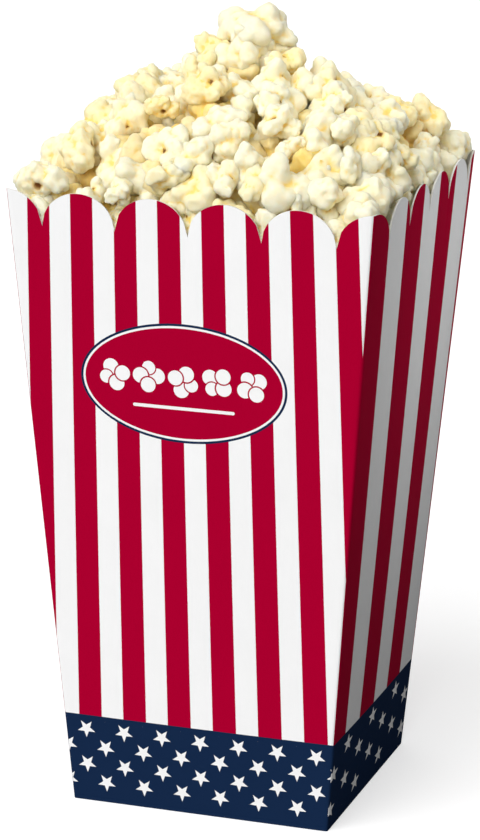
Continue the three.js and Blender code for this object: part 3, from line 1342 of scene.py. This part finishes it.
FLOOR_SIZE = 16
FLOOR_TONE, FLOOR_LIFT, FLOOR_CLOUDS = 0.14, 0.46, 0.03  # the lift is for the camera only
FLOOR_GLOW = 0.55  # for the camera only, so that the pale floor doesn't light the carton
WORLD_LIGHT = 0.25
CLIP = (0.05, 50)
SUNS = (  # name, from where it shines, degrees over which it is spread, strength
    ("key", (-0.22, -0.74, 0.62), 60, 2.32),
    ("fill", (-0.30, -1.0, 0.45), 80, 1.2),
    ("back light", (-0.45, 1.0, 0.42), 70, 0.7),
)
LAMP_PLACE, LAMP_TARGET = (0.80, 0.16, 0.62), (0.066, 0.060, 0.256)
LAMP_CONE, LAMP_POWER, LAMP_RADIUS = math.radians(14), 26, 0.12


def floor_material():
    """A pale floor that looks white to the camera and throws little light back."""
    material, net, shader = new_material(
        "Studio Floor", Emission_Strength=1.0, Roughness=0.9, Specular_IOR_Level=0.1)
    seen = net.given("ShaderNodeLightPath", "Is Camera Ray")
    tone = FLOOR_TONE + seen * FLOOR_LIFT + net.noise(net.place(), 3.0, 2) * FLOOR_CLOUDS
    net.feed(shader["Base Color"], net.grey(tone))
    net.feed(shader["Emission Color"], net.grey(seen * FLOOR_GLOW))
    return material


def add_light(kind, name, place, towards, energy):
    """A lamp at a place that shines along a direction."""
    bpy.ops.object.light_add(type=kind, location=place)
    light = bpy.context.object
    light.name = name
    light.data.energy = energy
    light.rotation_euler = Vector(towards).to_track_quat("-Z", "Y").to_euler()
    return light.data


def add_lights():
    """Even suns from three sides, and a lamp that fades out round the side's far top corner."""
    for name, source, spread, strength in SUNS:
        source = Vector(source)
        add_light("SUN", name, source * 2, -source, strength).angle = math.radians(spread)
    aim = Vector(LAMP_TARGET) - Vector(LAMP_PLACE)
    lamp = add_light("SPOT", "edge light", LAMP_PLACE, aim, LAMP_POWER)
    lamp.spot_size = LAMP_CONE
    lamp.spot_blend = 1.0
    lamp.shadow_soft_size = LAMP_RADIUS


def add_camera():
    stage = settings("stage")
    turn, lift = stage.azimuth, stage.elevation
    back = Vector((math.sin(turn) * math.cos(lift), -math.cos(turn) * math.cos(lift),
                   math.sin(lift)))
    right = Vector((math.cos(turn), math.sin(turn), 0))
    target = right * stage.aim_side + Vector((0, 0, stage.aim_height))
    bpy.ops.object.camera_add(location=target + back * stage.distance)
    camera = bpy.context.object
    look = (-back).to_track_quat("-Z", "Y")
    camera.rotation_euler = (look.to_matrix() @ Matrix.Rotation(stage.roll, 3, "Z")).to_euler()
    camera.data.lens = stage.lens
    camera.data.clip_start, camera.data.clip_end = CLIP
    bpy.context.scene.camera = camera


def set_world():
    """White studio walls that give only a soft, even light."""
    world = bpy.data.worlds.new("Studio")
    world.use_nodes = True
    background = world.node_tree.nodes["Background"].inputs
    background["Color"].default_value = (1, 1, 1, 1)
    net = Net(world.node_tree)
    seen = net.given("ShaderNodeLightPath", "Is Camera Ray")
    net.feed(background["Strength"], net.blend(seen, WORLD_LIGHT, 1.0))
    bpy.context.scene.world = world


class POPCORN_OT_stage(bpy.types.Operator):
    """Adds the pale floor, the soft studio light and the camera"""

    bl_idname = "popcorn.stage"
    bl_label = "Stage"

    def execute(self, context):
        select_nothing()
        bpy.ops.mesh.primitive_plane_add(size=FLOOR_SIZE, location=(0, 0, 0))
        floor = bpy.context.object
        floor.name = "studio_floor"
        floor.data.materials.append(floor_material())
        add_lights()
        set_world()
        add_camera()
        bpy.context.scene.view_settings.view_transform = "Standard"
        return {"FINISHED"}


# ---- Add-on ----


class POPCORN_PT_panel(bpy.types.Panel):
    bl_idname = "POPCORN_PT_panel"
    bl_label = "Popcorn Box"
    bl_space_type = "VIEW_3D"
    bl_region_type = "UI"
    bl_category = "Popcorn"

    def draw(self, context):
        for name in SETTINGS:
            column = self.layout.column(heading=name.title())
            for key in getattr(context.scene, name).bl_rna.properties.keys():
                if key not in ("rna_type", "name"):
                    column.prop(getattr(context.scene, name), key)
        for operator in OPERATORS:
            self.layout.operator(operator.bl_idname)


SETTINGS = {
    "carton": CartonSettings, "ink": PrintSettings, "corn": PopcornSettings,
    "stage": StageSettings,
}
OPERATORS = (POPCORN_OT_carton, POPCORN_OT_core, POPCORN_OT_flakes, POPCORN_OT_stage)
CLASSES = (*SETTINGS.values(), *OPERATORS, POPCORN_PT_panel)


def register():
    for cls in CLASSES:
        bpy.utils.register_class(cls)
    for name, cls in SETTINGS.items():
        setattr(bpy.types.Scene, name, bpy.props.PointerProperty(type=cls))


def unregister():
    for name in SETTINGS:
        delattr(bpy.types.Scene, name)
    for cls in reversed(CLASSES):
        bpy.utils.unregister_class(cls)


def main():
    register()
    make_groups()
    bpy.ops.popcorn.carton()
    bpy.ops.popcorn.core()
    bpy.ops.popcorn.flakes()
    bpy.ops.popcorn.stage()


if __name__ == "__main__":
    main()
